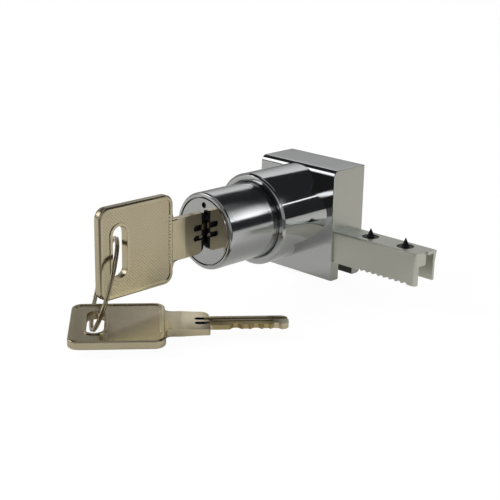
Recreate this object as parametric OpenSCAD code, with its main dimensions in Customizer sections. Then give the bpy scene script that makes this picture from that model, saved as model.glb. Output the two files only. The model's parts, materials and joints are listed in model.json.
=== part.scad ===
// Push lock for a sliding door, with two keys on a wire ring.
// The origin is on the bolt axis, in the flat back face of the block.
// X runs along the arm, Y points the way the bolt is thrown and Z is up.

/* [Block] */
// Width of the block along the door
block_width = 24; // [23:0.5:40]
// Depth of the block from its front to its back face
block_depth = 11.3; // [10.8:0.1:16]
// Height of the block's top above the bolt axis
axis_to_top = 11.2; // [11.2:0.1:18]
// Depth of the block's foot below the bolt axis
axis_to_foot = 16.3; // [14:0.1:30]
// Radius of the long edge at the front of the top
top_edge_radius = 1.6; // [0.4:0.1:2.4]
// Radius of the back edge of the rear leg at the foot
foot_edge_radius = 1.2; // [0.3:0.1:1.8]
// Thickness of the front skirt beside the track channel
skirt_thickness = 3; // [2.6:0.1:3.6]
// Thickness of the rear leg beside the track channel
rear_leg_thickness = 3; // [2:0.1:4]
// Depth of the channel's ceiling below the bolt axis
channel_ceiling = 7; // [6.6:0.1:9]

/* [Boss] */
// Outside diameter of the round boss
boss_diameter = 22; // [21.6:0.1:22.4]
// Length of the boss in front of the block
boss_length = 15.9; // [14.5:0.1:20]
// Chamfer round the mouth of the boss
boss_chamfer = 0.5; // [0.2:0.1:1]
// Depth of the boss bore behind the front of the block
bore_overrun = 1; // [0.8:0.1:1.2]
// Diameter of the spring pocket in the block
spring_pocket_diameter = 11.6; // [11.2:0.1:12]
// Depth of the spring pocket behind the bore
spring_pocket_depth = 3.5; // [2.5:0.1:5]

/* [Arm] */
// Length of the arm beside the block
arm_length = 25.2; // [24:0.1:60]
// Depth of the arm from front to back
arm_depth = 7; // [6.6:0.1:7.6]
// Distance from the block's front back to the arm's front
arm_setback = 0.65; // [0.3:0.05:1.2]
// Depth of the arm's top below the bolt axis
arm_top = 3.7; // [2.5:0.1:5]
// Height of the arm
arm_height = 7.2; // [6:0.1:8]
// Thickness of the web on top of the arm
arm_web = 3.2; // [2.6:0.1:4]
// Thickness of the two walls of the arm
arm_wall = 1.2; // [0.8:0.1:1.25]
// Radius of the upright corners at the arm's free end
arm_corner_radius = 0.8; // [0.3:0.1:1.1]
// Radius of the long edges on top of the arm
arm_edge_radius = 0.4; // [0.2:0.1:0.8]
// Depth of the solid bar along the arm's front at its free end
end_bar_depth = 3.8; // [3:0.1:4.4]
// Distance by which the bar stops short of the back wall
end_bar_setback = 0.6; // [0.1:0.1:1.2]
// Length of the hollow between the bar and the back wall
end_hollow_length = 3; // [1.5:0.1:3.4]
// Thickness of the roof over that hollow
end_roof = 0.7; // [0.5:0.1:1.2]
// Depth of the front wall's foot below the back wall's foot
front_wall_drop = 0.5; // [0.1:0.1:0.8]
// Number of teeth on the arm's front lower edge
tooth_count = 9; // [4:1:10]
// Spacing of the teeth
tooth_pitch = 1.7; // [1:0.05:1.8]
// Depth of the notches between the teeth
tooth_depth = 0.45; // [0.3:0.05:0.9]
// Distance from the arm's free end to the nearest notch
tooth_end_inset = 3.6; // [3:0.05:6]
// Share of the spacing that a notch takes
notch_share = 0.9; // [0.5:0.05:0.95]
// Lean of the teeth towards the free end, as a share of half a notch
tooth_lean = 0.4; // [0:0.05:0.8]

/* [Spike screws] */
// Thread diameter of the grub screws in the arm
screw_diameter = 4; // [3:0.1:4.4]
// Length of the threaded body of a grub screw
screw_length = 3; // [2.2:0.1:3.6]
// Depth of the screw body's end below the top of the arm
screw_recess = 0.1; // [0:0.05:0.5]
// Distance from the arm's free end to the nearer screw
screw_end_inset = 6.4; // [6:0.1:7]
// Distance between the two screws
screw_spacing = 10.3; // [6:0.1:11]
// Diameter of a spike at its base
spike_diameter = 2; // [1.4:0.1:2.8]
// Height of a spike
spike_height = 2.1; // [1.5:0.1:4]
// Size of the hexagon socket across its corners
socket_size = 2.3; // [1.5:0.1:2.4]
// Depth of the hexagon socket
socket_depth = 1.5; // [0.8:0.1:1.8]

/* [Barrel] */
// Diameter of the push barrel
barrel_diameter = 18; // [17.8:0.1:18.2]
// Length of the push barrel
barrel_length = 24; // [23.9:0.1:24.3]
// Length of barrel that stands out of the boss
barrel_proud = 15.1; // [14.6:0.1:16]
// Travel of the barrel when it is pushed
push_travel = 7.5; // [5:0.1:7.7]
// Wall of the barrel round its rear cavity
barrel_wall = 2; // [1.7:0.1:2.2]
// Radius of the barrel's front edge
barrel_edge_radius = 0.6; // [0.2:0.1:0.8]
// Diameter of the guide pin that stops the barrel
pin_diameter = 2.5; // [2:0.1:3]
// Distance from the boss mouth to the guide pin
pin_inset = 4.9; // [4.4:0.1:5]
// Depth of the guide slot along the barrel
guide_slot_depth = 1.4; // [1:0.1:1.5]

/* [Bolt] */
// Diameter of the bolt
bolt_diameter = 7; // [5:0.1:8]
// Depth of the bolt's end inside the back face at rest
bolt_recess = 0.3; // [0.1:0.1:1]
// Chamfer round the end of the bolt
bolt_chamfer = 0.6; // [0.2:0.1:1.2]
// Thickness of the carrier that holds the bolt in the barrel
carrier_thickness = 2; // [1.6:0.1:2.1]
// Thickness of the ring that holds the carrier
carrier_clip_thickness = 0.6; // [0.4:0.05:0.7]
// Width of the ring that holds the carrier
carrier_clip_width = 1.1; // [0.8:0.1:1.3]

/* [Plug] */
// Diameter of the plug's face
plug_face_diameter = 16; // [14:0.1:16.4]
// Thickness of the plug's face
plug_face_thickness = 2.2; // [1.6:0.1:2.8]
// Diameter of the plug's core
plug_diameter = 11; // [10.6:0.1:11.4]
// Diameter of the index dot on the face
dot_diameter = 1.4; // [0.8:0.1:2]
// Height of the index dot above the axis
dot_height = 6.2; // [5.5:0.1:6.6]
// Depth of the index dot
dot_depth = 0.4; // [0.2:0.1:1]
// Thickness of the clip that holds the plug
plug_clip_thickness = 0.6; // [0.4:0.05:0.7]
// Depth of the clip's groove in the plug
plug_groove_depth = 0.6; // [0.4:0.1:0.8]
// Distance from the clip to the wall of the barrel's cavity
plug_clip_gap = 0.4; // [0.3:0.1:0.6]
// Thickness of the cam behind the plug
cam_thickness = 1.1; // [0.9:0.1:1.2]
// Diameter of the cam
cam_diameter = 9; // [7:0.1:10]
// Width of the rib that drives the cam
rib_width = 2; // [1.5:0.1:3]
// Height of the rib that drives the cam
rib_height = 0.5; // [0.3:0.05:0.6]
// Diameter of the pin on the cam
cam_pin_diameter = 1.6; // [1.2:0.1:1.8]

/* [Side latch] */
// Throw of the side latch for a quarter turn of the plug
latch_throw = 1.4; // [1:0.05:1.45]
// Width of the side latch
latch_width = 4.6; // [4.4:0.1:5]
// Thickness of the side latch along the barrel
latch_thickness = 1.8; // [1.4:0.1:1.85]
// Distance from the axis to the latch's inner end
latch_tail = 4.8; // [4:0.1:5]

/* [Wafers] */
// Thickness of a wafer
wafer_thickness = 0.9; // [0.6:0.05:1.1]
// Width of a wafer
wafer_width = 4.4; // [4:0.1:4.6]
// Spacing of the wafers along the plug
wafer_pitch = 2.2; // [2:0.05:2.3]
// Distance from the plug's face to the first wafer
wafer_start = 5; // [4.4:0.1:5.4]
// Drop of the wafers when the key is out
wafer_drop = 0.8; // [0.4:0.05:0.9]
// Reach of a wafer's spring ear from the axis
ear_reach = 3.5; // [3.3:0.05:3.6]
// Height of a wafer's spring ear
ear_height = 1; // [0.6:0.1:1.2]

/* [Keys] */
// Side of the square bow
bow_size = 20.5; // [19:0.1:21]
// Thickness of the bow at its rim
bow_thickness = 2; // [1.7:0.1:2.1]
// Corner radius of the bow
bow_corner_radius = 2.4; // [1:0.1:3]
// Height of the bow's middle above the blade
bow_offset = 0.6; // [0:0.1:1]
// Width of the rim round the bow
rim_width = 0.9; // [0.5:0.1:1.4]
// Height of the rim above the field of the bow
rim_height = 0.2; // [0.1:0.05:0.3]
// Length of the ring slot in the bow
slot_length = 11.5; // [10:0.1:12]
// Width of the ring slot in the bow
slot_width = 3.9; // [3.7:0.1:4.2]
// Distance from the bow's outer end to the middle of the slot
slot_inset = 5.5; // [5.2:0.05:5.8]
// Width of the raised border round the slot
slot_border = 0.7; // [0.3:0.1:1]
// Width of the key's neck
neck_width = 9.6; // [7:0.1:12]
// Length of the key's neck
neck_length = 8.9; // [7:0.1:11]
// Thickness of the key's neck
neck_thickness = 1.8; // [1.5:0.1:1.9]
// Corner radius of the neck at the shoulder, on the side of the cuts
neck_corner_radius = 0.5; // [0.3:0.1:1.5]
// Corner radius of the neck at the shoulder, on the plain side
neck_heel_radius = 2; // [0.8:0.1:2.4]
// Length of the hollow on the neck beside the shoulder
scoop_length = 6; // [3:0.1:6.5]
// Length of the blade
blade_length = 17.8; // [17.4:0.1:17.9]
// Width of the blade
blade_width = 4.6; // [4:0.1:4.8]
// Thickness of the blade
blade_thickness = 1.3; // [1:0.1:1.4]
// Radius of the blade's tip
tip_radius = 1.6; // [0.5:0.1:1.9]
// Width of the groove along the blade
groove_width = 0.8; // [0.4:0.1:1]
// Depth of the groove along the blade
groove_depth = 0.3; // [0.1:0.05:0.4]
// Depth of the milled step along the cut edge
step_depth = 0.12; // [0.05:0.01:0.2]
// Depths of the five cuts, from the shoulder to the tip
cut_depths = [0.9, 0.35, 0.75, 0.45, 0.65]; // [0.1:0.05:1.1]
// Width of a cut's floor
cut_floor = 1; // [0.6:0.1:1.2]
// Distance from the plug's face to the shoulder of the key
key_gap = 1.2; // [1:0.1:1.6]

/* [Key ring] */
// Diameter of the ring at the middle of its wire
ring_diameter = 20.6; // [20.4:0.1:21]
// Diameter of the ring's wire
ring_wire = 1; // [0.8:0.05:1.05]
// Opening between the wire's ends, in degrees
ring_split = 2; // [1:0.5:5]

/* [Fits] */
// Radial clearance of a part that slides or turns in a bore
running_fit = 0.05; // [0.02:0.01:0.1]
// Radial clearance of a part that is held fast
seat_fit = 0.02; // [0.01:0.01:0.04]
// Clearance on each side of the key's blade
key_fit = 0.15; // [0.1:0.01:0.2]
// Clearance on each side of a part in a slot
slot_fit = 0.1; // [0.06:0.01:0.12]
// Clearance at the end of a travel
end_gap = 0.2; // [0.15:0.05:0.25]

/* [Hidden] */
$fn = 64;

chrome = [0.78, 0.79, 0.8];
steel = [0.6, 0.61, 0.63];
black_steel = [0.08, 0.08, 0.09];
nickel = [0.66, 0.63, 0.55];
brass = [0.78, 0.64, 0.36];

// Overshoot of a cut past a face, and the hair's breadth that keeps two faces out of one plane.
past = 1;
hair = 0.01;

block_front = -block_depth;
boss_front = block_front - boss_length;
barrel_front = boss_front - barrel_proud;
bore_end = block_front + bore_overrun;
pocket_end = bore_end + spring_pocket_depth;
block_side = block_width / 2;
boss_radius = boss_diameter / 2;
barrel_radius = barrel_diameter / 2;
plug_radius = plug_diameter / 2;
cavity_radius = barrel_radius - barrel_wall;

arm_front = block_front + arm_setback;
arm_middle = arm_front + arm_depth / 2;
arm_end = block_side + arm_length;
arm_foot = arm_top + arm_height;
teeth_foot = arm_foot + front_wall_drop;
web_foot = arm_top + arm_web;

// Places along the barrel, counted back from its front edge.
core_end = blade_length - key_gap + 2 * end_gap + rib_height;
shoulder_at = core_end - plug_clip_thickness - 4 * slot_fit - rib_height;
cam_start = core_end;
cam_end = cam_start + cam_thickness;
latch_start = cam_end + end_gap;
latch_end = latch_start + latch_thickness;
carrier_start = latch_end + end_gap;
carrier_end = carrier_start + carrier_thickness;
clip_end = carrier_end + slot_fit + carrier_clip_thickness;
pin_at = barrel_proud + pin_inset;

latch_tip = sqrt(pow(barrel_radius, 2) - pow(latch_width / 2, 2)) - running_fit;
latch_pocket = latch_tip + latch_throw + end_gap;
cam_pin_offset = latch_throw;
pin_lead_share = 0.22;
cam_pin_lead = pin_lead_share * latch_throw;

return_wire = 0.8;
return_turns = 5;
return_mean = (bolt_diameter + spring_pocket_diameter) / 2;
wafer_count = 5;
wafer_wire = 0.2;
wafer_spring_turns = 4;
wafer_spring_mean = 0.75;
wafer_spring_height = 2.4;
wafer_spring_at = (wafer_width / 2 + 2 * slot_fit + ear_reach) / 2;
latch_wire = 0.3;
latch_spring_turns = 3;
latch_spring_mean = 1.3;

bow_middle = -neck_length - bow_size / 2;
slot_middle = -neck_length - bow_size + slot_inset;
scoop_depth = 0.4 * (neck_thickness - blade_thickness);
scoop_radius = (pow(scoop_length, 2) + pow(scoop_depth, 2)) / (2 * scoop_depth);
key_shoulder = barrel_front - key_gap;

// The ring passes through the slot of the key in the lock, turned and tipped as it lies.
ring_turn = 54.3;
ring_tip = -17.3;
ring_radius = ring_diameter / 2;
ring_lift = 0.49;
ring_to_key_slot = [0.471, 0, 0.882];
ring_middle = [0, key_shoulder + slot_middle, bow_offset + ring_lift] - ring_radius * ring_to_key_slot;

// The spare key lies flat, with the low side of the ring in its slot.
spare_turn = -40.4;
spare_roll = 2.5;
ring_to_spare_slot = [0.357, -0.53, -0.709];
spare_slot = ring_middle + ring_radius * ring_to_spare_slot;

// Solid of revolution about the bolt axis, from a profile of radius and Y.
module turned() {
    rotate([-90, 0, 0]) rotate_extrude() children();
}

// Profile of a ring or disc between two diameters and two places along Y.
module band(inner, outer, start, end) {
    translate([inner / 2, start]) square([(outer - inner) / 2, end - start]);
}

// Round bar along Y.
module rod(diameter, start, end) {
    translate([0, start, 0]) rotate([-90, 0, 0]) cylinder(d = diameter, h = end - start);
}

// Flat profile of Y and Z, made thick along X about the middle.
module across(thickness) {
    rotate([90, 0, 90]) linear_extrude(thickness, center = true) children();
}

// Rectangle with its own radius at each corner: low left, low right, high right, high left.
module soft_rect(size, radii) {
    ends = [[0, 0], [size[0], 0], size, [0, size[1]]];
    inward = [[1, 1], [-1, 1], [-1, -1], [1, -1]];
    difference() {
        square(size);
        for (i = [0 : 3]) if (radii[i] > 0) translate(ends[i]) corner_waste(inward[i], radii[i]);
    }
}

// What a rounded corner takes off a rectangle.
module corner_waste(inward, radius) {
    low = [min(0, inward[0]), min(0, inward[1])] * radius;
    difference() {
        translate(low) square(radius);
        translate(inward * radius) circle(radius);
    }
}

// Flat slot with round ends, its length along the second direction.
module stadium(length, width) {
    reach = (length - width) / 2;
    square([width, 2 * reach], center = true);
    for (side = [-1, 1]) translate([0, side * reach]) circle(d = width);
}

// Coil spring along Z, its wire drawn as rings of points along a helix.
module coil(mean, wire, height, turns, steps, sides) {
    count = turns * steps;
    rise = height - wire;
    points = [for (i = [0 : count], j = [0 : sides - 1])
        let (around = 360 * i / steps, across = 360 * j / sides, reach = mean / 2 + wire / 2 * cos(across))
        [reach * cos(around), reach * sin(around), wire / 2 + rise * i / count + wire / 2 * sin(across)]];
    skin = [for (i = [0 : count - 1], j = [0 : sides - 1])
        let (next = (j + 1) % sides)
        [i * sides + j, i * sides + next, (i + 1) * sides + next, (i + 1) * sides + j]];
    first = [for (j = [sides - 1 : -1 : 0]) j];
    last = [for (j = [0 : sides - 1]) count * sides + j];
    polyhedron(points, [for (face = concat(skin, [first, last])) [for (k = [len(face) - 1 : -1 : 0]) face[k]]],
               convexity = 8);
}

// Block with its soft top edge and its foot, seen from the end.
module block_profile() {
    translate([block_front, -axis_to_foot])
        soft_rect([block_depth, axis_to_top + axis_to_foot],
                  [foot_edge_radius / 2, foot_edge_radius, 0, top_edge_radius]);
}

// Inverted channel of the arm, seen from the end.
module arm_profile() {
    difference() {
        union() {
            translate([arm_front, -arm_foot])
                soft_rect([arm_depth, arm_height], [0, 0, arm_edge_radius, arm_edge_radius]);
            translate([arm_front, -teeth_foot]) square([arm_wall, arm_height / 2]);
        }
        translate([arm_front + arm_wall, -arm_foot - past])
            square([arm_depth - 2 * arm_wall, arm_height - arm_web + past]);
    }
}

// Arm seen from above: the front bar stops short of the back wall.
module arm_plan(reach) {
    soft_rect([reach - end_bar_setback, end_bar_depth], [0, arm_corner_radius, 0, 0]);
    translate([0, end_bar_depth - hair])
        soft_rect([reach, arm_depth - end_bar_depth + hair], [0, 0, arm_corner_radius, 0]);
}

// Arm with soft corners and a hollow at its free end, and teeth on its front lower edge.
module arm() {
    root = block_side - past;
    reach = arm_length + past;
    notch_half = notch_share * tooth_pitch / 2;
    difference() {
        intersection() {
            translate([root, 0, 0]) rotate([90, 0, 90]) linear_extrude(reach) arm_profile();
            translate([root, arm_front, -teeth_foot - past])
                linear_extrude(teeth_foot + 2 * past) arm_plan(reach);
        }
        translate([arm_end - end_hollow_length, arm_front + end_bar_depth, -web_foot - past])
            cube([end_hollow_length + past, arm_depth - arm_wall - end_bar_depth, arm_web - end_roof + past]);
        for (i = [0 : tooth_count - 1])
            translate([arm_end - tooth_end_inset - i * tooth_pitch, arm_front + arm_wall + past / 2, -teeth_foot])
                rotate([90, 0, 0]) linear_extrude(arm_wall + past)
                    polygon([[-notch_half, -hair], [notch_half, -hair], [tooth_lean * notch_half, tooth_depth]]);
    }
}

module at_screws() {
    for (i = [0, 1])
        translate([arm_end - screw_end_inset - i * screw_spacing, arm_middle, -arm_top]) children();
}

// Zinc casting: block, boss and arm in one piece.
module lock_housing() {
    color(chrome) difference() {
        union() {
            across(block_width) block_profile();
            turned() difference() {
                band(0, boss_diameter, boss_front, block_front + top_edge_radius);
                translate([boss_radius, boss_front]) rotate(45) square(boss_chamfer * sqrt(2), center = true);
            }
            arm();
        }
        rod(barrel_diameter + 2 * running_fit, boss_front - past, bore_end);
        rod(spring_pocket_diameter, bore_end - past, pocket_end);
        rod(bolt_diameter + 2 * running_fit, pocket_end - past, past);
        translate([-block_side - past, block_front + skirt_thickness, -axis_to_foot - past])
            cube([block_width + past, block_depth - skirt_thickness - rear_leg_thickness,
                  axis_to_foot - channel_ceiling + past]);
        for (place = [0, push_travel])
            translate([-latch_pocket, barrel_front + latch_start + place - end_gap, -latch_width / 2 - end_gap])
                cube([latch_pocket - cavity_radius, latch_thickness + 2 * end_gap, latch_width + 2 * end_gap]);
        translate([0, boss_front + pin_inset, -boss_radius - past])
            cylinder(d = pin_diameter + 2 * seat_fit, h = boss_radius + past);
        at_screws() translate([0, 0, -arm_web - past])
            cylinder(d = screw_diameter + 2 * seat_fit, h = arm_web + 2 * past);
    }
}

// Grub screws with spike points, turned with a hexagon key from inside the arm.
module spike_screws() {
    color(black_steel) at_screws() difference() {
        union() {
            translate([0, 0, -screw_recess - screw_length]) cylinder(d = screw_diameter, h = screw_length);
            translate([0, 0, -screw_recess]) cylinder(d1 = spike_diameter, d2 = 0, h = spike_height + screw_recess);
        }
        translate([0, 0, -screw_recess - screw_length - past])
            cylinder(d = socket_size, h = socket_depth + past, $fn = 6);
    }
}

// Pin through the underside of the boss, in the barrel's guide slot.
module guide_pin() {
    tip = barrel_radius - guide_slot_depth + end_gap;
    flush = sqrt(pow(boss_radius, 2) - pow(pin_diameter / 2, 2));
    color(steel) translate([0, boss_front + pin_inset, -flush]) cylinder(d = pin_diameter, h = flush - tip);
}

// Spring round the bolt, from the pocket in the block to the carrier.
module return_spring() {
    start = barrel_front + carrier_end;
    color(steel) translate([0, start, 0]) rotate([-90, 0, 0])
        coil(return_mean, return_wire, pocket_end - start, return_turns, steps = 20, sides = 8);
}

// Barrel that is pushed in, hollow for the plug in front and for the bolt's carrier behind.
module push_barrel() {
    groove_reach = plug_radius + wafer_drop + end_gap;
    groove_width = wafer_width + 4 * slot_fit;
    groove_start = wafer_start - wafer_thickness;
    groove_length = (wafer_count - 1) * wafer_pitch + 2 * wafer_thickness;
    color(chrome) translate([0, barrel_front, 0]) difference() {
        turned() difference() {
            soft_rect([barrel_radius, barrel_length], [0, barrel_edge_radius, 0, 0]);
            band(0, plug_face_diameter + 2 * running_fit, -past, plug_face_thickness + slot_fit);
            band(0, plug_diameter + 2 * running_fit, 0, shoulder_at + past);
            band(0, 2 * cavity_radius, shoulder_at, barrel_length + past);
            band(0, 2 * cavity_radius + carrier_clip_width, carrier_end, clip_end + slot_fit);
        }
        for (turn = [0, 90]) rotate([0, turn, 0])
            translate([-groove_width / 2, groove_start, -groove_reach])
                cube([groove_width, groove_length, groove_reach]);
        translate([-barrel_radius - past, latch_start - slot_fit, -latch_width / 2 - slot_fit])
            cube([barrel_radius + past, latch_thickness + 2 * slot_fit, latch_width + 2 * slot_fit]);
        translate([-pin_diameter / 2 - end_gap, pin_at - push_travel - pin_diameter / 2 - end_gap,
                   -barrel_radius - past])
            cube([pin_diameter + 2 * end_gap, push_travel + pin_diameter + 2 * end_gap, guide_slot_depth + past]);
    }
}

// Disc in the back of the barrel that holds the bolt and takes the spring.
module bolt_carrier() {
    color(steel) translate([0, barrel_front, 0])
        turned() band(bolt_diameter + 2 * seat_fit, 2 * (cavity_radius - seat_fit), carrier_start, carrier_end);
}

// Open ring that snaps in behind the carrier.
module carrier_clip() {
    outside = 2 * cavity_radius + carrier_clip_width - 2 * seat_fit;
    start = carrier_end + slot_fit / 2;
    color(steel) translate([0, barrel_front, 0]) difference() {
        turned() band(outside - 2 * carrier_clip_width, outside, start, start + carrier_clip_thickness);
        translate([-carrier_clip_width, start - past, 0])
            cube([2 * carrier_clip_width, carrier_clip_thickness + 2 * past, barrel_radius]);
    }
}

// Bolt that the barrel throws out of the back face.
module lock_bolt() {
    color(steel) turned() difference() {
        band(0, bolt_diameter, barrel_front + carrier_start, -bolt_recess);
        translate([bolt_diameter / 2, -bolt_recess]) rotate(45) square(bolt_chamfer * sqrt(2), center = true);
    }
}

// Plug with its face, keyway, wafer slots, spring pockets and the rib that drives the cam.
module plug_core() {
    slot = wafer_thickness + 2 * slot_fit;
    ear_slot = ear_reach + slot_fit;
    groove_inner = plug_diameter - 2 * plug_groove_depth;
    color(chrome) translate([0, barrel_front, 0]) difference() {
        union() {
            turned() difference() {
                union() {
                    band(0, plug_face_diameter, 0, plug_face_thickness);
                    band(0, plug_diameter, 0, core_end - rib_height);
                }
                band(groove_inner, plug_diameter + past, shoulder_at + slot_fit,
                     shoulder_at + plug_clip_thickness + 3 * slot_fit);
            }
            intersection() {
                rod(cam_diameter, 0, core_end);
                translate([-rib_width / 2, core_end - rib_height - past, -plug_radius])
                    cube([rib_width, rib_height + past, plug_diameter]);
            }
        }
        translate([-blade_thickness / 2 - key_fit, -past, -blade_width / 2 - key_fit])
            cube([blade_thickness + 2 * key_fit, past + blade_length - key_gap + end_gap,
                  blade_width + 2 * key_fit]);
        for (i = [0 : wafer_count - 1]) translate([0, wafer_start + i * wafer_pitch, 0]) {
            cube([wafer_width + 2 * slot_fit, slot, plug_diameter], center = true);
            translate([0, -slot / 2, -ear_height - wafer_drop - end_gap])
                cube([ear_slot, slot, ear_height + wafer_drop + end_gap]);
            translate([wafer_spring_at, 0, -slot_fit])
                cylinder(d = wafer_spring_mean + wafer_wire + 2 * slot_fit, h = wafer_spring_height + slot_fit);
        }
        translate([0, -past, dot_height]) rotate([-90, 0, 0]) cylinder(d = dot_diameter, h = dot_depth + past);
    }
}

// Open ring in the plug's groove, behind the barrel's inner shoulder.
module plug_clip() {
    inside = plug_diameter - 2 * plug_groove_depth + 2 * seat_fit;
    outside = 2 * (cavity_radius - plug_clip_gap);
    start = shoulder_at + 2 * slot_fit;
    color(steel) translate([0, barrel_front, 0]) difference() {
        turned() band(inside, outside, start, start + plug_clip_thickness);
        translate([0, start - past, -plug_radius + plug_groove_depth])
            cube([barrel_radius, plug_clip_thickness + 2 * past, plug_diameter - 2 * plug_groove_depth]);
    }
}

// Cam on the plug's rib, with the pin that moves the side latch.
module tail_cam() {
    color(steel) translate([0, barrel_front, 0]) difference() {
        union() {
            rod(cam_diameter, core_end - rib_height, cam_end);
            translate([0, 0, -cam_pin_offset]) rod(cam_pin_diameter, cam_end - past / 2, latch_end);
        }
        translate([-rib_width / 2 - seat_fit, core_end - rib_height - past, -plug_radius])
            cube([rib_width + 2 * seat_fit, rib_height + past + seat_fit, plug_diameter]);
    }
}

// One wafer, with its window for the blade and the ear that its spring pushes.
module wafer(index) {
    window = blade_thickness + 2 * key_fit;
    color(brass) translate([0, barrel_front + wafer_start + (index - 1) * wafer_pitch, 0]) difference() {
        union() {
            intersection() {
                cube([wafer_width, wafer_thickness, plug_diameter], center = true);
                rod(plug_diameter - 2 * running_fit, -wafer_thickness, wafer_thickness);
            }
            translate([0, -wafer_thickness / 2, -ear_height]) cube([ear_reach, wafer_thickness, ear_height]);
        }
        translate([-window / 2, -wafer_thickness, -blade_width / 2 - key_fit])
            cube([window, 2 * wafer_thickness, blade_width + 2 * key_fit + wafer_drop]);
    }
}

module wafer_1() {
    wafer(1);
}

module wafer_2() {
    wafer(2);
}

module wafer_3() {
    wafer(3);
}

module wafer_4() {
    wafer(4);
}

module wafer_5() {
    wafer(5);
}

// Springs that push the wafers down by their ears.
module wafer_springs() {
    color(steel) for (i = [0 : wafer_count - 1])
        translate([wafer_spring_at, barrel_front + wafer_start + i * wafer_pitch, 0])
            coil(wafer_spring_mean, wafer_wire, wafer_spring_height, wafer_spring_turns, steps = 10, sides = 5);
}

// Latch that the cam moves out through the barrel's side into a pocket of the boss.
module side_latch() {
    reach = cam_pin_diameter / 2 + 1.5 * slot_fit;
    color(steel) translate([0, barrel_front + latch_start, 0]) difference() {
        translate([-latch_tip, 0, -latch_width / 2]) cube([latch_tip + latch_tail, latch_thickness, latch_width]);
        translate([-reach - cam_pin_lead, -past, -latch_width / 2 - past])
            cube([2 * reach + cam_pin_lead, latch_thickness + 2 * past, latch_width / 2 + past + reach]);
    }
}

// Spring behind the side latch.
module latch_spring() {
    color(steel) translate([latch_tail, barrel_front + (latch_start + latch_end) / 2, 0]) rotate([0, 90, 0])
        coil(latch_spring_mean, latch_wire, cavity_radius - slot_fit - latch_tail, latch_spring_turns,
             steps = 12, sides = 6);
}

// Outline of the bow, its middle at the origin.
module bow_outline(inset) {
    side = bow_size - 2 * inset;
    radius = bow_corner_radius - inset;
    translate([-side / 2, -side / 2]) soft_rect([side, side], [radius, radius, radius, radius]);
}

// Outline of the blade, with a cut at each wafer along its upper edge.
module blade_outline() {
    difference() {
        translate([-past, -blade_width / 2])
            soft_rect([blade_length + past, blade_width], [0, tip_radius, tip_radius, 0]);
        for (i = [0 : wafer_count - 1])
            translate([key_gap + wafer_start + i * wafer_pitch, blade_width / 2])
                polygon([[-cut_floor / 2, -cut_depths[i]], [cut_floor / 2, -cut_depths[i]],
                         [cut_floor / 2 + cut_depths[i], hair], [-cut_floor / 2 - cut_depths[i], hair]]);
    }
}

// Key along Y, its shoulder at the origin, its cuts upwards and its bow behind.
module key() {
    color(nickel) difference() {
        union() {
            translate([0, bow_middle, bow_offset]) difference() {
                across(bow_thickness) bow_outline(0);
                for (side = [-1, 1]) translate([side * bow_thickness / 2, 0, 0]) across(2 * rim_height)
                    difference() {
                        bow_outline(rim_width);
                        translate([slot_middle - bow_middle, 0])
                            stadium(slot_length + 2 * slot_border, slot_width + 2 * slot_border);
                    }
            }
            across(neck_thickness) translate([-neck_length - past, -neck_width / 2])
                soft_rect([neck_length + past, neck_width], [0, neck_heel_radius, neck_corner_radius, 0]);
            across(blade_thickness) blade_outline();
        }
        translate([0, slot_middle, bow_offset]) across(2 * bow_thickness) stadium(slot_length, slot_width);
        for (side = [-1, 1]) {
            translate([side * (neck_thickness / 2 - scoop_depth + scoop_radius), 0, -neck_width])
                cylinder(r = scoop_radius, h = 2 * neck_width, $fn = 360);
            translate([side * blade_thickness / 2, blade_length / 2, -groove_width - step_depth])
                cube([2 * groove_depth, blade_length + past, groove_width], center = true);
            translate([side * blade_thickness / 2, (blade_length - 2 * tip_radius) / 2, blade_width / 4 + past])
                cube([2 * step_depth, blade_length - 2 * tip_radius, blade_width / 2 + past], center = true);
        }
    }
}

module inserted_key() {
    translate([0, key_shoulder, 0]) key();
}

// Wire ring through the slots of both keys.
module key_ring() {
    color(nickel) translate(ring_middle) rotate([0, 0, ring_turn]) rotate([0, 90 - ring_tip, 0])
        rotate([0, 0, 90]) rotate_extrude(angle = 360 - ring_split)
            translate([ring_radius, 0]) circle(d = ring_wire);
}

module spare_key() {
    translate(spare_slot) rotate([0, 0, spare_turn]) rotate([0, 90 + spare_roll, 0])
        translate([0, -slot_middle, -bow_offset]) key();
}

lock_housing();
spike_screws();
guide_pin();
return_spring();
push_barrel();
bolt_carrier();
carrier_clip();
lock_bolt();
plug_core();
plug_clip();
tail_cam();
wafer_1();
wafer_2();
wafer_3();
wafer_4();
wafer_5();
wafer_springs();
side_latch();
latch_spring();
inserted_key();
key_ring();
spare_key();
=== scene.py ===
"""Dresses a sliding door push lock: a chrome casting with a toothed arm, a push barrel and two keys on a split ring."""

import json
import math

import bmesh
import bpy
from mathutils import Euler, Matrix, Vector


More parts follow.
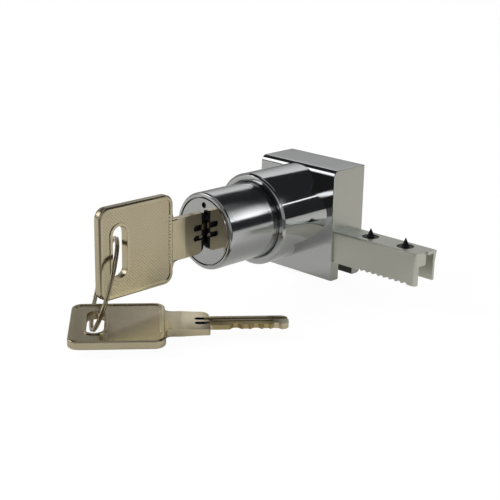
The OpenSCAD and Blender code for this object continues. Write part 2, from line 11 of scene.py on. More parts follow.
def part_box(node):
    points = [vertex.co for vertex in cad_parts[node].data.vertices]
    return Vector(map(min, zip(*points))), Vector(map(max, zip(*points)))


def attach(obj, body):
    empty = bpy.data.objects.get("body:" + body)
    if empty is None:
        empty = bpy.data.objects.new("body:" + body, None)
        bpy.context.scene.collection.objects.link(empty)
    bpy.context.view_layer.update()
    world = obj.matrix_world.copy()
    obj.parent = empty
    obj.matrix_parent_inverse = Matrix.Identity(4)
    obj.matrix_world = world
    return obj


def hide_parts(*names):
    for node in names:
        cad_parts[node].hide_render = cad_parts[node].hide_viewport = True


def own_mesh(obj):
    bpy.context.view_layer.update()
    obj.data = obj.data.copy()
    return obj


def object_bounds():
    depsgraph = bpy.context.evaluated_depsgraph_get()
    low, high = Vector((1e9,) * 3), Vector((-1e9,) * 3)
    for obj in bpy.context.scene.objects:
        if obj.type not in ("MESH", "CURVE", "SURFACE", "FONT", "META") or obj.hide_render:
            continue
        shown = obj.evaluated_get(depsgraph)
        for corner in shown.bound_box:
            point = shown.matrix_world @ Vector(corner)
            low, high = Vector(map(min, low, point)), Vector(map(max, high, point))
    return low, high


bl_info = {
    "name": "Sliding door push lock",
    "version": (1, 0, 0),
    "blender": (4, 5, 0),
    "location": "View3D > Sidebar > Push lock",
    "description": "Models the plated casting, barrel, keys and split ring over the packed solids",
    "category": "Object",
}

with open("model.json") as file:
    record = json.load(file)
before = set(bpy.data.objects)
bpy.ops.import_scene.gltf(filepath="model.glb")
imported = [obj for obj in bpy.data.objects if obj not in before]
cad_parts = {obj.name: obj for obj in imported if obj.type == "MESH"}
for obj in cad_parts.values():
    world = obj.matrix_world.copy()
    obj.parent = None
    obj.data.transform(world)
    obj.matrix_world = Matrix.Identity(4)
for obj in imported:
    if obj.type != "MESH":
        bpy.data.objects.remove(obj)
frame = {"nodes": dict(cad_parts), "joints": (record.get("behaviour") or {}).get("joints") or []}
CAD_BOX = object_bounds()
MM = 0.001
# Two places count as one within a hair, and a seated piece has this much room round it.
HAIR = 0.01 * MM
SEAT = 0.02 * MM
# Reach of a cutter past the faces of a key.
PAST = 2 * MM
PUSH_TRAVEL = frame["joints"][0]["range_m"][1]
# Middle of the ring and middle of the slot it runs through in the spare key.
RING_MIDDLE = Vector((-4.8513, -67.4, -7.9946)) * MM
SPARE_SLOT = Vector((-1.1742, -72.859, -15.2973)) * MM
# A wave texture's band repeats after this length at scale 1.
WAVE_LENGTH = 0.314


def linear(code):
    """Turns an sRGB hex colour into the linear colour that the shaders use."""
    parts = [int(code[i:i + 2], 16) / 255 for i in (0, 2, 4)]
    return tuple(p / 12.92 if p <= 0.04045 else ((p + 0.055) / 1.055) ** 2.4 for p in parts)


def length(name, description, mm):
    return bpy.props.FloatProperty(name=name, description=description, default=mm * MM, unit="LENGTH", precision=5)


def angle(name, description, degrees):
    return bpy.props.FloatProperty(name=name, description=description, default=math.radians(degrees), subtype="ANGLE")


def colour(name, description, code):
    return bpy.props.FloatVectorProperty(name=name, description=description, default=linear(code), size=3,
                                         subtype="COLOR", min=0, max=1)


class CastingSizes(bpy.types.PropertyGroup):
    """Sizes of the block, boss and arm."""

    block_width: length("Block width", "Width of the block along the door", 24)
    block_depth: length("Block depth", "Depth of the block from front to back", 11.3)
    block_top: length("Block top", "Height of the block above the bolt axis", 11.2)
    block_foot: length("Block foot", "Depth of the block below the bolt axis", 16.3)
    ceiling: length("Channel ceiling", "Depth of the track channel's ceiling below the bolt axis", 7)
    leg: length("Leg thickness", "Thickness of the skirt and of the rear leg", 3)
    top_edge: length("Top edge radius", "Radius of the front edge on top", 1.6)
    foot_edge: length("Foot edge radius", "Radius of the back edge at the foot", 1.2)
    soft_edge: length("Soft edge", "Width of the edges that the plating softens", 0.18)
    boss_radius: length("Boss radius", "Outside radius of the boss", 11)
    boss_length: length("Boss length", "Length of the boss in front of the block", 15.9)
    boss_chamfer: length("Boss chamfer", "Chamfer round the mouth of the boss", 0.5)
    bore_radius: length("Bore radius", "Radius of the bore for the barrel", 9.05)
    bore_overrun: length("Bore overrun", "Depth of the bore inside the block", 1)
    pocket_radius: length("Pocket radius", "Radius of the spring pocket", 5.8)
    pocket_depth: length("Pocket depth", "Depth of the spring pocket behind the bore", 3.5)
    bolt_hole: length("Bolt hole radius", "Radius of the hole for the bolt", 3.55)
    arm_length: length("Arm length", "Length of the arm beside the block", 25.2)
    arm_depth: length("Arm depth", "Depth of the arm from front to back", 7)
    arm_setback: length("Arm setback", "Distance from the block's front to the arm's front", 0.65)
    arm_top: length("Arm top", "Depth of the arm's top below the bolt axis", 3.7)
    arm_height: length("Arm height", "Height of the arm", 7.2)
    arm_web: length("Arm web", "Thickness of the web on top of the arm", 3.2)
    arm_wall: length("Arm wall", "Thickness of the arm's walls", 1.2)
    arm_corner: length("Arm corner radius", "Radius of the upright corners at the free end", 0.8)
    arm_edge: length("Arm edge radius", "Radius of the long edges on top of the arm", 0.4)
    wall_drop: length("Front wall drop", "Depth of the front wall's foot below the back wall's", 0.5)
    end_bar: length("End bar depth", "Depth of the solid bar at the free end", 3.8)
    end_setback: length("End bar setback", "Distance by which the bar stops short of the back wall", 0.6)
    end_hollow: length("End hollow length", "Length of the hollow behind the bar", 3)
    end_roof: length("End roof", "Thickness of the roof over the hollow", 0.7)
    tooth_pitch: length("Tooth pitch", "Spacing of the teeth under the arm", 1.7)
    tooth_depth: length("Tooth depth", "Depth of the notches between the teeth", 0.45)
    tooth_inset: length("Tooth inset", "Distance from the free end to the nearest notch", 3.6)
    tooth_count: bpy.props.IntProperty(name="Tooth count", description="Number of notches", default=9, min=1, max=12)
    screw_inset: length("Screw inset", "Distance from the free end to the nearer screw", 6.4)
    screw_spacing: length("Screw spacing", "Distance between the two screws", 10.3)
    screw_radius: length("Screw radius", "Outside radius of the grub screws", 2)
    spike_radius: length("Spike radius", "Radius of a spike at its base", 1)
    spike_height: length("Spike height", "Height of the spikes above the arm", 2.1)


class BarrelSizes(bpy.types.PropertyGroup):
    """Sizes of the barrel, the plug and the return spring."""

    radius: length("Barrel radius", "Outside radius of the barrel", 9)
    total: length("Barrel length", "Whole length of the barrel", 24)
    edge: length("Front edge radius", "Radius of the barrel's front edge", 0.6)
    face_radius: length("Face recess radius", "Radius of the recess for the plug's face", 8.05)
    face_depth: length("Face recess depth", "Depth of the recess for the plug's face", 2.3)
    plug_radius: length("Plug bore radius", "Radius of the bore for the plug", 5.55)
    shoulder: length("Shoulder place", "Distance from the front to the inner shoulder", 16)
    cavity_radius: length("Cavity radius", "Radius of the cavity behind the plug", 7)
    disc_radius: length("Plug face radius", "Radius of the plug's face", 7.78)
    disc_thickness: length("Plug face thickness", "Thickness of the plug's face", 2.2)
    disc_edge: length("Plug face edge", "Radius of the edge round the plug's face", 0.2)
    core_radius: length("Plug core radius", "Radius of the plug behind its face", 5.5)
    core_groove: length("Clip groove radius", "Radius of the plug in the clip's groove", 4.9)
    rib_width: length("Rib width", "Width of the rib that drives the cam", 1.96)
    rib_height: length("Rib height", "Height of the rib that drives the cam", 0.5)
    rib_reach: length("Rib reach", "Half the length of the rib", 4.4)
    mouth_width: length("Keyway mouth width", "Width of the sunk mouth of the keyway", 2.4)
    mouth_low: length("Keyway mouth foot", "Depth of the mouth below the middle", 2.45)
    mouth_high: length("Keyway mouth head", "Height of the mouth above the middle", 4.2)
    mouth_depth: length("Keyway mouth depth", "Depth of the sunk mouth", 1)
    dot_radius: length("Dot radius", "Radius of the index dot", 0.7)
    dot_height: length("Dot height", "Height of the index dot above the middle", 6.2)
    dot_depth: length("Dot depth", "Depth of the index dot", 0.4)
    spring_radius: length("Return spring radius", "Radius of the return spring at the middle of its wire", 4.65)
    spring_wire: length("Return spring wire", "Thickness of the return spring's wire", 0.8)
    spring_turns: bpy.props.IntProperty(name="Return spring turns", description="Turns of the return spring", default=5,
                                        min=2, max=9)


class KeySizes(bpy.types.PropertyGroup):
    """Sizes of the keys and of the ring."""

    bow: length("Bow side", "Side of the square bow", 20.5)
    bow_thickness: length("Bow thickness", "Thickness of the bow at its rim", 2)
    bow_corner: length("Bow corner radius", "Corner radius of the bow", 2.4)
    bow_offset: length("Bow offset", "Height of the bow's middle above the blade", 0.6)
    rim: length("Rim width", "Width of the rim round the bow", 0.9)
    rim_height: length("Rim height", "Height of the rim above the field", 0.2)
    rim_round: length("Rim rounding", "Radius of the rim's outer edge", 0.42)
    slot_length: length("Slot length", "Length of the ring slot", 11.5)
    slot_width: length("Slot width", "Width of the ring slot", 3.9)
    slot_inset: length("Slot inset", "Distance from the bow's end to the slot's middle", 5.5)
    slot_border: length("Slot border", "Width of the raised border round the slot", 0.7)
    neck: length("Neck length", "Length of the neck", 8.9)
    neck_width: length("Neck width", "Width of the neck", 9.6)
    neck_thickness: length("Neck thickness", "Thickness of the neck", 1.8)
    lead: length("Neck lead", "Length of the neck past the shoulder's stop", 0.6)
    fillet: length("Neck fillet", "Radius where the neck runs into the bow", 1.3)
    heel: length("Neck heel radius", "Corner radius of the neck on its plain side", 2)
    scoop: length("Scoop length", "Length of the hollow beside the shoulder", 6)
    scoop_depth: length("Scoop depth", "Depth of the hollow at the shoulder", 0.2)
    run_out: length("Groove run-out", "Reach of the milled grooves into the neck", 2.6)
    groove_floor: length("Groove floor", "Half the metal left between the grooves", 0.3)
    blade: length("Blade length", "Length of the blade", 17.8)
    blade_width: length("Blade width", "Width of the blade", 4.6)
    blade_thickness: length("Blade thickness", "Thickness of the blade", 1.3)
    tip: length("Tip radius", "Radius of the blade's tip", 1.6)
    gap: length("Key gap", "Distance from the plug's face to the shoulder", 1.2)
    ring_radius: length("Ring radius", "Radius of the ring at the middle of its wire", 10.3)
    ring_wire: length("Ring wire", "Thickness of the ring across both turns", 1)
    hatch: length("Hatch pitch", "Spacing of the fine diagonal lines on the bow", 0.55)


class LockColours(bpy.types.PropertyGroup):
    """Colours of the finishes."""

    chrome: colour("Chrome", "Chrome plate in white light", "cdcecf")
    satin: colour("Satin plate", "Plate on the unpolished sides of the block", "cacac2")
    tumbled: colour("Tumbled plate", "Plate on the tumbled arm", "e4e4da")
    channel_shade: colour("Raw zinc", "Dull zinc inside the track channel", "5c5d58")
    nickel: colour("Nickel", "Nickel plate on the keys", "dbceb0")
    brass: colour("Brass", "Bare brass where a blade is milled", "cdb888")
    steel: colour("Steel", "Zinc plated steel", "b4b7ba")
    spring: colour("Spring wire", "Drawn spring wire", "9a9da0")
    # The black also paints shade in the key's grooves, by its shoulder and in the keyway mouth.
    black: colour("Black oxide", "Black oxide on the spike screws", "17171a")


class StageSettings(bpy.types.PropertyGroup):
    """Camera and studio."""

    azimuth: angle("Azimuth", "Turn of the camera round the lock", 44.2994)
    elevation: angle("Elevation", "Height angle of the camera", 17.5862)
    roll: angle("Roll", "Turn of the camera about its own line of sight", 1.154)
    distance: length("Distance", "Distance from the camera to the block's front", 280.293)
    shift_right: length("Aim to the right", "Camera's place across its line of sight", -11.2468)
    shift_up: length("Aim upwards", "Camera's place up its line of sight", -10.4992)
    focal: bpy.props.FloatProperty(name="Focal length", description="Lens in mm on a 36 mm sensor", default=81.954,
                                   subtype="DISTANCE_CAMERA")


def alone(piece):
    """Leaves piece the only selected object, and the active one."""
    bpy.ops.object.select_all(action="DESELECT")
    piece.select_set(True)
    bpy.context.view_layer.objects.active = piece


def open_edit(piece, mode="FACE"):
    alone(piece)
    bpy.ops.object.mode_set(mode="EDIT")
    bpy.ops.mesh.select_mode(type=mode)


def close_edit():
    bpy.ops.object.mode_set(mode="OBJECT")


def pick_faces(piece, test):
    """Selects the faces whose middle and normal pass the test."""
    bpy.ops.mesh.select_mode(type="FACE")
    bpy.ops.mesh.select_all(action="DESELECT")
    mesh = bmesh.from_edit_mesh(piece.data)
    for face in mesh.faces:
        face.select_set(bool(test(face.calc_center_median(), face.normal)))
    bmesh.update_edit_mesh(piece.data)


def pick_edges(piece, test, along="XYZ"):
    """Selects the edges whose two ends both pass the test; an edge's ends differ only along the named axes."""
    bpy.ops.mesh.select_mode(type="EDGE")
    bpy.ops.mesh.select_all(action="DESELECT")
    mesh = bmesh.from_edit_mesh(piece.data)
    fixed = ["XYZ".index(axis) for axis in "XYZ" if axis not in along]
    for edge in mesh.edges:
        a, b = (v.co for v in edge.verts)
        edge.select_set(bool(test(a) and test(b) and all(near(a[i], b[i]) for i in fixed)))
    bmesh.update_edit_mesh(piece.data)


def near(a, b):
    return abs(a - b) < HAIR


def new_piece(name, scale=(1, 1, 1)):
    """Names and scales the object just added, and keeps its place in its mesh."""
    piece = bpy.context.object
    piece.name = name
    piece.scale = scale
    bpy.ops.object.transform_apply(location=True, rotation=True, scale=True)
    return piece


def box_piece(name, low, high):
    """Box between two corners, its place in its mesh."""
    low, high = Vector(low), Vector(high)
    bpy.ops.object.select_all(action="DESELECT")
    bpy.ops.mesh.primitive_cube_add(size=1, location=(low + high) / 2)
    return new_piece(name, high - low)


def rod_piece(name, radius, start, end, sides=64):
    """Round bar, or a bar of few sides, from one point to another."""
    start, end = Vector(start), Vector(end)
    bpy.ops.object.select_all(action="DESELECT")
    bpy.ops.mesh.primitive_cylinder_add(vertices=sides, radius=radius, depth=(end - start).length,
                                        location=(start + end) / 2,
                                        rotation=(end - start).to_track_quat("Z", "Y").to_euler())
    return new_piece(name)


def turned_piece(name, profile, closed=True, sides=128):
    """Piece turned about Y: a circle is extruded and resized through the profile's radii and places."""
    bpy.ops.object.select_all(action="DESELECT")
    radius, place = profile[0]
    bpy.ops.mesh.primitive_circle_add(vertices=sides, radius=radius, fill_type="NOTHING", location=(0, place, 0),
                                      rotation=(math.pi / 2, 0, 0))
    piece = new_piece(name)
    open_edit(piece, "EDGE")
    bpy.ops.mesh.select_all(action="SELECT")
    for next_radius, next_place in profile[1:]:
        extrude(0, next_place - place, 0)
        grow = next_radius / radius
        bpy.ops.transform.resize(value=(grow, 1, grow), center_override=(0, next_place, 0))
        radius, place = next_radius, next_place
    bpy.ops.mesh.select_all(action="DESELECT")
    bpy.ops.mesh.select_non_manifold()
    if closed:
        bpy.ops.mesh.bridge_edge_loops()
    else:
        bpy.ops.mesh.fill_holes(sides=0)
    outwards()
    close_edit()
    return piece


def wound_wire(name, section, squeeze, start, rise, turns, steps):
    """Wire wound about Z: a small circle, squeezed to an oval, is screwed up through its turns and its ends filled."""
    bpy.ops.object.select_all(action="DESELECT")
    bpy.ops.mesh.primitive_circle_add(vertices=20, radius=section, fill_type="NOTHING", location=start,
                                      rotation=(math.pi / 2, 0, 0))
    wire = new_piece(name, (squeeze, 1, 1))
    apply_modifier(wire, "SCREW", angle=2 * math.pi, screw_offset=rise, iterations=turns, steps=steps,
                   render_steps=steps, axis="Z", use_merge_vertices=False)
    open_edit(wire, "EDGE")
    bpy.ops.mesh.select_all(action="DESELECT")
    bpy.ops.mesh.select_non_manifold()
    bpy.ops.mesh.fill_holes(sides=0)
    outwards()
    close_edit()
    return wire


def extrude(*move):
    """Extrudes the selected faces or edges and moves them."""
    bpy.ops.mesh.extrude_region_move(TRANSFORM_OT_translate={"value": move})


def outwards():
    """Turns every face of the mesh in edit mode outwards."""
    bpy.ops.mesh.select_all(action="SELECT")
    bpy.ops.mesh.normals_make_consistent(inside=False)


def round_edges(piece, test, radius, segments=8, along="XYZ"):
    """Rounds the edges whose ends pass the test."""
    open_edit(piece, "EDGE")
    pick_edges(piece, test, along)
    bpy.ops.mesh.bevel(offset=radius, segments=segments, affect="EDGES")
    close_edit()


def apply_modifier(piece, kind, **settings):
    alone(piece)
    modifier = piece.modifiers.new(kind.title(), kind)
    for name, value in settings.items():
        setattr(modifier, name, value)
    bpy.ops.object.modifier_apply(modifier=modifier.name)


def soften(piece, width, segments=2):
    """Softens every sharp edge a little, as plating does."""
    apply_modifier(piece, "BEVEL", width=width, segments=segments, limit_method="ANGLE", angle_limit=math.radians(32))


def cut(piece, *cutters):
    """Takes the cutters out of the piece."""
    for cutter in cutters:
        apply_modifier(piece, "BOOLEAN", operation="DIFFERENCE", solver="EXACT", object=cutter)
        bpy.data.objects.remove(cutter)


def split(piece, point, normal, test=None):
    """Splits the faces that pass the test along a plane."""
    pick_faces(piece, test or (lambda middle, facing: True))
    bpy.ops.mesh.bisect(plane_co=point, plane_no=normal)


def join(*pieces):
    """Joins the pieces into the first."""
    alone(pieces[0])
    for piece in pieces:
        piece.select_set(True)
    bpy.ops.object.join()
    return pieces[0]


def paint(piece, *materials):
    piece.data.materials.clear()
    for material in materials:
        piece.data.materials.append(material)


def settle(piece, body, slot, *nodes):
    """Shades the piece, puts it on its body and lets it stand for the CAD nodes."""
    alone(piece)
    bpy.ops.object.shade_smooth_by_angle(angle=math.radians(28))
    apply_modifier(piece, "WEIGHTED_NORMAL", keep_sharp=True, weight=80)
    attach(piece, body)
    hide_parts(*nodes)


def turned(degrees, axis):
    return Matrix.Rotation(math.radians(degrees), 4, axis)


def place(piece, matrix):
    """Moves the piece and keeps its place in its mesh."""
    piece.matrix_world = matrix
    alone(piece)
    bpy.ops.object.transform_apply(location=True, rotation=True, scale=True)


def add(tree, kind, inputs=(), **settings):
    """Adds a node with its settings; inputs are values or the sockets to link."""
    node = tree.nodes.new(kind)
    for name, value in settings.items():
        setattr(node, name, value)
    for name, value in dict(inputs).items():
        if isinstance(value, bpy.types.NodeSocket):
            tree.links.new(value, node.inputs[name])
        else:
            node.inputs[name].default_value = value
    return node


def ramp(tree, factor, *stops):
    """Colour ramp with its stops given as place and colour."""
    node = add(tree, "ShaderNodeValToRGB", {"Fac": factor})
    marks = node.color_ramp.elements
    while len(marks) < len(stops):
        marks.new(0.5)
    for mark, (at, tint) in zip(marks, stops):
        mark.position = at
        mark.color = (*tint, 1)
    return node.outputs["Color"]


def new_material(name):
    material = bpy.data.materials.new(name)
    material.use_nodes = True
    tree = material.node_tree
    tree.nodes.clear()
    return material, tree


def surface(tree, shader):
    add(tree, "ShaderNodeOutputMaterial", {"Surface": shader.outputs[0]})


def shade(tint, factor):
    return tuple(min(1, channel * factor) for channel in tint)


def object_place(tree):
    return add(tree, "ShaderNodeTexCoord").outputs["Object"]


def noise(tree, where, grain, detail):
    """Noise with grains of a size in mm."""
    return add(tree, "ShaderNodeTexNoise",
               {"Vector": where, "Scale": 1 / (grain * MM), "Detail": detail}).outputs["Fac"]


def waves(tree, where, pitch, distortion=0.0):
    """Bands across X at a pitch."""
    return add(tree, "ShaderNodeTexWave", {"Vector": where, "Scale": WAVE_LENGTH / pitch, "Distortion": distortion},
               wave_type="BANDS", bands_direction="X").outputs["Fac"]


def calc(tree, operation, *values):
    return add(tree, "ShaderNodeMath", dict(enumerate(values)), operation=operation).outputs[0]


def remap(tree, value, old, new, **settings):
    """Moves a value from one range to another."""
    return add(tree, "ShaderNodeMapRange", {"Value": value, "From Min": old[0], "From Max": old[1],
                                            "To Min": new[0], "To Max": new[1]}, **settings).outputs["Result"]


def blend(tree, share, first, second):
    """Mixes two shaders; the share is the second one's."""
    return add(tree, "ShaderNodeMixShader", {0: share, 1: first.outputs[0], 2: second.outputs[0]})


def relief(tree, height, strength, depth, invert=False):
    """Bumped normal, with its depth in mm."""
    return add(tree, "ShaderNodeBump", {"Height": height, "Strength": strength, "Distance": depth * MM},
               invert=invert).outputs["Normal"]


def metal(tree, tone, roughness, normal=None, metallic=1.0):
    inputs = {"Base Color": tone, "Metallic": metallic, "Roughness": roughness}
    if normal is not None:
        inputs["Normal"] = normal
    surface(tree, add(tree, "ShaderNodeBsdfPrincipled", inputs))


def plated_metal(name, tint, roughness, peel, smudge=0.05):
    """Bright plate: a mirror with a faint ripple of the casting under it, and smudges that dull it in places."""
    material, tree = new_material(name)
    where = object_place(tree)
    ripple = noise(tree, where, 1.6, 2.0)
    haze = noise(tree, where, 7, 4.0)
    tone = ramp(tree, haze, (0.3, shade(tint, 0.95)), (0.7, tint))
    dull = remap(tree, haze, (0.35, 0.75), (roughness, roughness + smudge))
    metal(tree, tone, dull, relief(tree, ripple, peel, 0.02))
    return material


def drawn_metal(name, tint, roughness, grain):
    """Plain inner metal: fine scratches of its making, drawn as a stretched noise."""
    material, tree = new_material(name)
    along = add(tree, "ShaderNodeMapping", {"Vector": object_place(tree), "Scale": (1.0, 0.08, 1.0)})
    lines = noise(tree, along.outputs["Vector"], grain, 3.0)
    tone = ramp(tree, lines, (0.3, shade(tint, 0.85)), (0.7, tint))
    metal(tree, tone, roughness, relief(tree, lines, 0.15, 0.02))
    return material


def black_oxide_and_painted_shade(name, tint):
    """Black oxide on steel: an oily dark skin with paler rubbed spots. The same dark skin is painted as shade in the
    key's grooves, by its shoulder and in the keyway mouth.
    """
    material, tree = new_material(name)
    mottle = noise(tree, object_place(tree), 0.7, 4.0)
    metal(tree, ramp(tree, mottle, (0.4, tint), (0.75, shade(tint, 3))), 0.38, metallic=0.6)
    return material


def nickel_plate(name, tint, hatch):
    """Nickel plate on a stamped brass key: warm grey, soft gloss, fine diagonal lines on the sunk field of the bow."""
    material, tree = new_material(name)
    plan = add(tree, "ShaderNodeUVMap", uv_map="key_plan").outputs["UV"]
    turn = add(tree, "ShaderNodeMapping", {"Vector": plan, "Rotation": (0, 0, math.radians(-45))})
    field = add(tree, "ShaderNodeAttribute", attribute_name="bow_field").outputs["Fac"]
    cut_lines = calc(tree, "MULTIPLY", waves(tree, turn.outputs["Vector"], hatch), field)
    where = object_place(tree)
    pits = calc(tree, "MULTIPLY", noise(tree, where, 0.45, 1.0), field)
    tone = ramp(tree, noise(tree, where, 5, 4.0), (0.3, shade(tint, 0.92)), (0.7, tint))
    lined = add(tree, "ShaderNodeMix", {0: cut_lines, 6: tone, 7: (*shade(tint, 0.8), 1)},
                data_type="RGBA").outputs[2]
    metal(tree, lined, 0.24, relief(tree, calc(tree, "ADD", cut_lines, pits), 0.3, 0.06, invert=True))
    return material


def pale_nickel_highlight(name, tint):
    """Small raised beads painted paler than the plate as a highlight: a bright, soft spot beside the smooth rim."""
    material, tree = new_material(name)
    mottle = noise(tree, object_place(tree), 0.4, 2.0)
    metal(tree, ramp(tree, mottle, (0.3, shade(tint, 1.3)), (0.7, shade(tint, 1.6))), 0.3, metallic=0.2)
    return material


def milled_brass(name, tint):
    """Bare brass where the blade is milled: fine cutter marks across the blade."""
    material, tree = new_material(name)
    plan = add(tree, "ShaderNodeUVMap", uv_map="key_plan").outputs["UV"]
    marks = waves(tree, plan, 0.3 * MM, 1.5)
    tone = ramp(tree, marks, (0.2, shade(tint, 0.85)), (0.8, tint))
    metal(tree, tone, 0.32, relief(tree, marks, 0.15, 0.03))
    return material


class PUSHLOCK_OT_casting(bpy.types.Operator):
    """Models the block, boss and arm of the casting"""

    bl_idname = "pushlock.casting"
    bl_label = "Casting"

    def execute(self, context):
        s = context.scene.pushlock_casting
        tints = context.scene.pushlock_colours
        side, front = s.block_width / 2, -s.block_depth
        bright = plated_metal("Chrome plated zinc casting", tints.chrome, 0.05, 0.12)
        satin = plated_metal("Satin plated zinc sides", tints.satin, 0.3, 0.5)
        tumbled = plated_metal("Tumbled and plated zinc arm", tints.tumbled, 0.4, 0.5)
        # The zinc in the track channel is painted dark as shade.
        channel_shade = drawn_metal("Raw zinc in the channel", tints.channel_shade, 0.45, 0.8)
        casting = join(self.block(s, side, front, bright, channel_shade, satin), self.boss(s, front, bright),
                       self.arm(s, side, front, tumbled))
        settle(casting, "housing", "chrome_casting", "lock_housing")
        return {"FINISHED"}

    def block(self, s, side, front, finish, channel_shade, satin):
        block = box_piece("lock_casting", (-side, front, -s.ceiling), (side, 0, s.block_top))
        open_edit(block)
        for place_y in (front + s.leg, -s.leg):
            split(block, (0, place_y, 0), (0, 1, 0))
        pick_faces(block, lambda middle, facing: facing.z < -0.9 and not front + s.leg < middle.y < -s.leg)
        extrude(0, 0, s.ceiling - s.block_foot)
        close_edit()
        round_edges(block, lambda v: near(v.z, s.block_top) and near(v.y, front), s.top_edge)
        round_edges(block, lambda v: near(v.z, -s.block_foot) and near(v.y, 0), s.foot_edge)
        round_edges(block, lambda v: near(v.z, -s.block_foot) and near(v.y, front), s.foot_edge / 2)
        soften(block, s.soft_edge)
        bore_end = front + s.bore_overrun
        pocket_end = bore_end + s.pocket_depth
        cut(block, turned_piece("bore", [
            (s.bore_radius, front - MM), (s.bore_radius, bore_end), (s.pocket_radius, bore_end),
            (s.pocket_radius, pocket_end), (s.bolt_hole, pocket_end), (s.bolt_hole, MM)], closed=False))
        paint(block, finish, channel_shade, satin)
        for face in block.data.polygons:
            middle = face.center
            # Faces in the track channel get the dark zinc: painted shade.
            in_channel = front + s.leg - HAIR < middle.y < HAIR - s.leg and middle.z < HAIR - s.ceiling
            face.material_index = 1 if in_channel else 2 if abs(face.normal.x) > 0.99 else 0
        return block

    def boss(self, s, front, finish):
        mouth = front - s.boss_length
        seat, lip = front + 0.3 * MM, 0.45 * MM
        gap, pocket_reach, pocket_start = 0.2 * MM, 1.6 * MM, -6 * MM
        boss = turned_piece("boss", [
            (s.bore_radius + lip, mouth), (s.boss_radius - s.boss_chamfer, mouth),
            (s.boss_radius, mouth + s.boss_chamfer), (s.boss_radius, seat), (s.bore_radius, seat),
            (s.bore_radius, mouth + lip)])
        soften(boss, width=0.08 * MM)
        low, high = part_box("side_latch")
        pin_low, pin_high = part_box("guide_pin")
        pin_x, pin_y = (pin_low.x + pin_high.x) / 2, (pin_low.y + pin_high.y) / 2
        pockets = [box_piece("pocket", (low.x - pocket_reach, low.y + step - gap, low.z - gap),
                             (pocket_start, high.y + step + gap, high.z + gap)) for step in (0, PUSH_TRAVEL)]
        pin_hole = rod_piece("pin_hole", (pin_high.x - pin_low.x) / 2 + SEAT,
                             (pin_x, pin_y, -s.boss_radius - MM), (pin_x, pin_y, 0))
        cut(boss, *pockets, pin_hole)
        paint(boss, finish)
        return boss

    def arm(self, s, side, front, finish):
        end = side + s.arm_length
        face = front + s.arm_setback
        back = face + s.arm_depth
        bar = face + s.end_bar
        web_foot = -s.arm_top - s.arm_web
        foot = -s.arm_top - s.arm_height
        teeth_foot = foot - s.wall_drop
        wall_end = face + s.arm_wall + HAIR
        arm = box_piece("arm", (side - SEAT, face, web_foot), (end, back, -s.arm_top))
        open_edit(arm)
        for place_y in (face + s.arm_wall, back - s.arm_wall):
            split(arm, (0, place_y, 0), (0, 1, 0))
        pick_faces(arm, lambda middle, facing: facing.z < -0.9 and middle.y < wall_end)
        extrude(0, 0, teeth_foot - web_foot)
        pick_faces(arm, lambda middle, facing: facing.z < -0.9 and middle.y > back - s.arm_wall)
        extrude(0, 0, foot - web_foot)
        close_edit()
        cut(arm, box_piece("end_step", (end - s.end_setback, face - MM, teeth_foot - MM), (end + MM, bar, 0)),
            box_piece("end_hollow", (end - s.end_hollow, bar, web_foot - MM),
                      (end + MM, back - s.arm_wall, -s.arm_top - s.end_roof)))
        # Each notch is deepest nearer the free end, and a narrow land is left between two.
        half, lean = 0.45 * s.tooth_pitch, 0.4
        notches = [end - s.tooth_inset - i * s.tooth_pitch for i in range(s.tooth_count)]
        valleys = [notch + lean * half for notch in notches]
        open_edit(arm)
        for notch in notches:
            for station in (notch - half, notch + lean * half, notch + half):
                split(arm, (station, 0, 0), (1, 0, 0), lambda middle, facing: middle.y < wall_end)
        pick_edges(arm, lambda v: near(v.z, teeth_foot) and any(near(v.x, valley) for valley in valleys))
        bpy.ops.transform.translate(value=(0, 0, s.tooth_depth))
        close_edit()
        round_edges(arm, lambda v: near(v.z, -s.arm_top) and (near(v.y, face) or near(v.y, back)),
                    s.arm_edge, 4, "X")
        round_edges(arm, lambda v: near(v.x, end - s.end_setback) and near(v.y, face), s.arm_corner, 6, "Z")
        round_edges(arm, lambda v: near(v.x, end) and near(v.y, back), s.arm_corner, 6, "Z")
        soften(arm, width=0.1 * MM)
        for i in (0, 1):
            x, y = end - s.screw_inset - i * s.screw_spacing, (face + back) / 2
            cut(arm, rod_piece("screw_hole", s.screw_radius + SEAT, (x, y, web_foot - MM), (x, y, 0)))
        paint(arm, finish)
        return arm


class PUSHLOCK_OT_spikes(bpy.types.Operator):
    """Models the two grub screws with spike points"""

    bl_idname = "pushlock.spikes"
    bl_label = "Spike screws"

    def execute(self, context):
        s = context.scene.pushlock_casting
        low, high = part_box("spike_screws")
        sunk, ridge, pitch, tip = 0.1 * MM, 0.2 * MM, 0.7 * MM, 0.04 * MM
        socket_radius, socket_depth = 1.15 * MM, 1.5 * MM
        body_end = high.z - s.spike_height - sunk - low.z
        threads = []
        at = ridge
        while at + pitch < body_end - ridge:
            threads += [(s.screw_radius, at), (s.screw_radius - ridge, at + pitch / 2)]
            at += pitch
        screw = turned_piece("spike_screw_1", [
            (s.screw_radius - ridge, 0), *threads, (s.screw_radius, body_end - ridge),
            (s.screw_radius - ridge, body_end), (s.spike_radius, body_end), (tip, high.z - low.z)],
            closed=False, sides=48)
        soften(screw, width=0.03 * MM)
        cut(screw, rod_piece("socket", socket_radius, (0, -MM, 0), (0, socket_depth, 0), sides=6))
        paint(screw, black_oxide_and_painted_shade("Black oxide steel", context.scene.pushlock_colours.black))
        middle_y = (low.y + high.y) / 2
        alone(screw)
        bpy.ops.object.duplicate()
        twin = bpy.context.object
        twin.name = "spike_screw_2"
        for piece, x in ((screw, low.x + s.screw_radius), (twin, high.x - s.screw_radius)):
            place(piece, Matrix.Translation((x, middle_y, low.z)) @ turned(90, "X"))
            settle(piece, "housing", "black_steel", "spike_screws")
        return {"FINISHED"}


